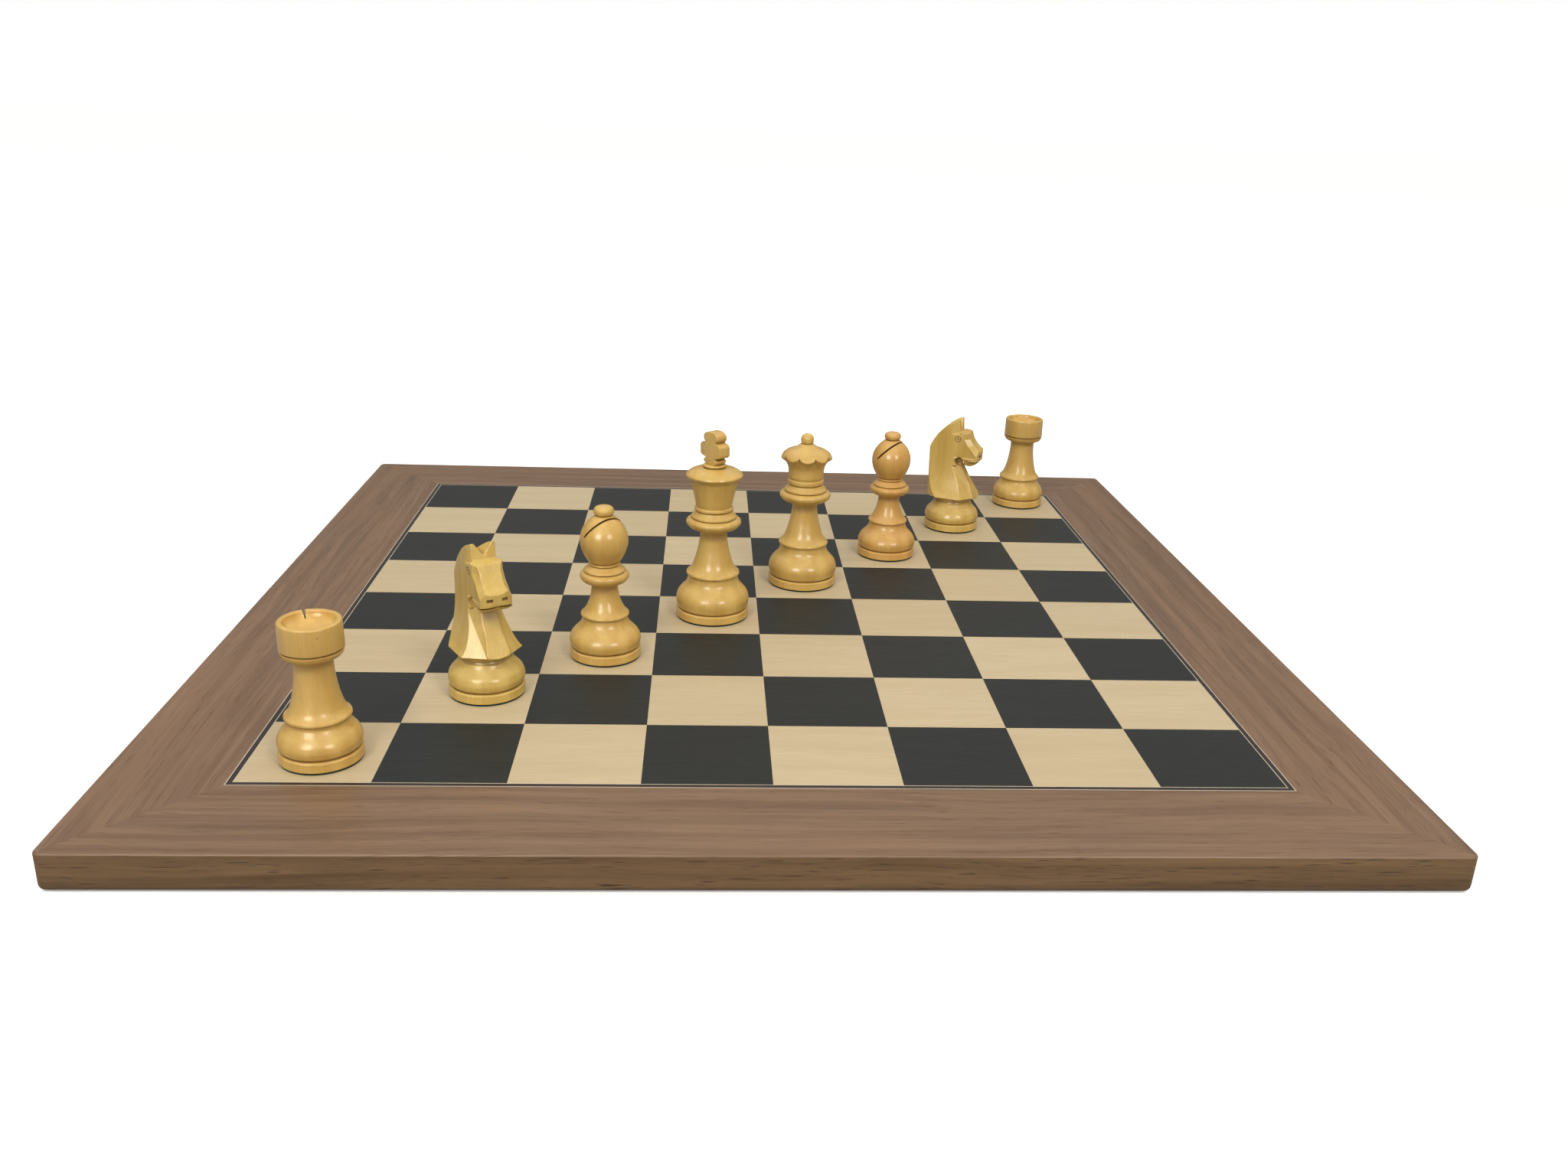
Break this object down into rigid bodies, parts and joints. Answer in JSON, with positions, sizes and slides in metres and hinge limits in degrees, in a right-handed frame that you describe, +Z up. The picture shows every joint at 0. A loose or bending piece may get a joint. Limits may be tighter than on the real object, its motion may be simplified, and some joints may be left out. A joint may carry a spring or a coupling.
{
  "type": "chess set with board",
  "caption": "Square wooden chess board with inlaid squares, banding and a mitred border, with weighted, felted chessmen that stand on it and lift off.",
  "frame": {"origin": "centre of the board's underside", "axes": "+X runs to the right along the board's near edge, +Y runs away to the far edge, +Z is up"},
  "size_m": [0.5, 0.5, 0.109],
  "materials": {
    "walnut_veneer": "satin lacquer",
    "walnut_lipping": "satin lacquer",
    "light_veneer": "satin lacquer",
    "dark_veneer": "satin lacquer",
    "banding": "satin lacquer",
    "boxwood": "waxed satin",
    "green_felt": "matt",
    "cast_iron": "rough cast",
    "beech": "bare",
    "core_board": "bare"
  },
  "bodies": {
    "board": {"base_veneer": "walnut_veneer", "core_panel": "core_board", "lipping_front": "walnut_lipping", "border_front": "walnut_veneer", "banding_front": "banding", "lipping_right": "walnut_lipping", "border_right": "walnut_veneer", "banding_right": "banding", "lipping_back": "walnut_lipping", "border_back": "walnut_veneer", "banding_back": "banding", "lipping_left": "walnut_lipping", "border_left": "walnut_veneer", "banding_left": "banding", "rank_strip_1": "light_veneer", "rank_strip_2": "dark_veneer", "rank_strip_3": "light_veneer", "rank_strip_4": "dark_veneer", "rank_strip_5": "light_veneer", "rank_strip_6": "dark_veneer", "rank_strip_7": "light_veneer", "rank_strip_8": "dark_veneer"},
    "rook_1": {"rook_1_body": "boxwood", "rook_1_weight": "cast_iron", "rook_1_felt": "green_felt"},
    "knight_1": {"knight_1_base": "boxwood", "knight_1_head": "boxwood", "knight_1_dowel": "beech", "knight_1_weight": "cast_iron", "knight_1_felt": "green_felt"},
    "bishop_1": {"bishop_1_body": "boxwood", "bishop_1_weight": "cast_iron", "bishop_1_felt": "green_felt"},
    "king": {"king_body": "boxwood", "king_cross": "boxwood", "king_weight": "cast_iron", "king_felt": "green_felt"},
    "queen": {"queen_body": "boxwood", "queen_weight": "cast_iron", "queen_felt": "green_felt"},
    "bishop_2": {"bishop_2_body": "boxwood", "bishop_2_weight": "cast_iron", "bishop_2_felt": "green_felt"},
    "knight_2": {"knight_2_base": "boxwood", "knight_2_head": "boxwood", "knight_2_dowel": "beech", "knight_2_weight": "cast_iron", "knight_2_felt": "green_felt"},
    "rook_2": {"rook_2_body": "boxwood", "rook_2_weight": "cast_iron", "rook_2_felt": "green_felt"}
  },
  "joints": [
    {"name": "rook_1_lift", "type": "slide", "parent": "board", "child": "rook_1", "axis": [0, 0, 1], "range_m": [0, 0.12]},
    {"name": "knight_1_lift", "type": "slide", "parent": "board", "child": "knight_1", "axis": [0, 0, 1], "range_m": [0, 0.12]},
    {"name": "bishop_1_lift", "type": "slide", "parent": "board", "child": "bishop_1", "axis": [0, 0, 1], "range_m": [0, 0.12]},
    {"name": "king_lift", "type": "slide", "parent": "board", "child": "king", "axis": [0, 0, 1], "range_m": [0, 0.12]},
    {"name": "queen_lift", "type": "slide", "parent": "board", "child": "queen", "axis": [0, 0, 1], "range_m": [0, 0.12]},
    {"name": "bishop_2_lift", "type": "slide", "parent": "board", "child": "bishop_2", "axis": [0, 0, 1], "range_m": [0, 0.12]},
    {"name": "knight_2_lift", "type": "slide", "parent": "board", "child": "knight_2", "axis": [0, 0, 1], "range_m": [0, 0.12]},
    {"name": "rook_2_lift", "type": "slide", "parent": "board", "child": "rook_2", "axis": [0, 0, 1], "range_m": [0, 0.12]}
  ]
}
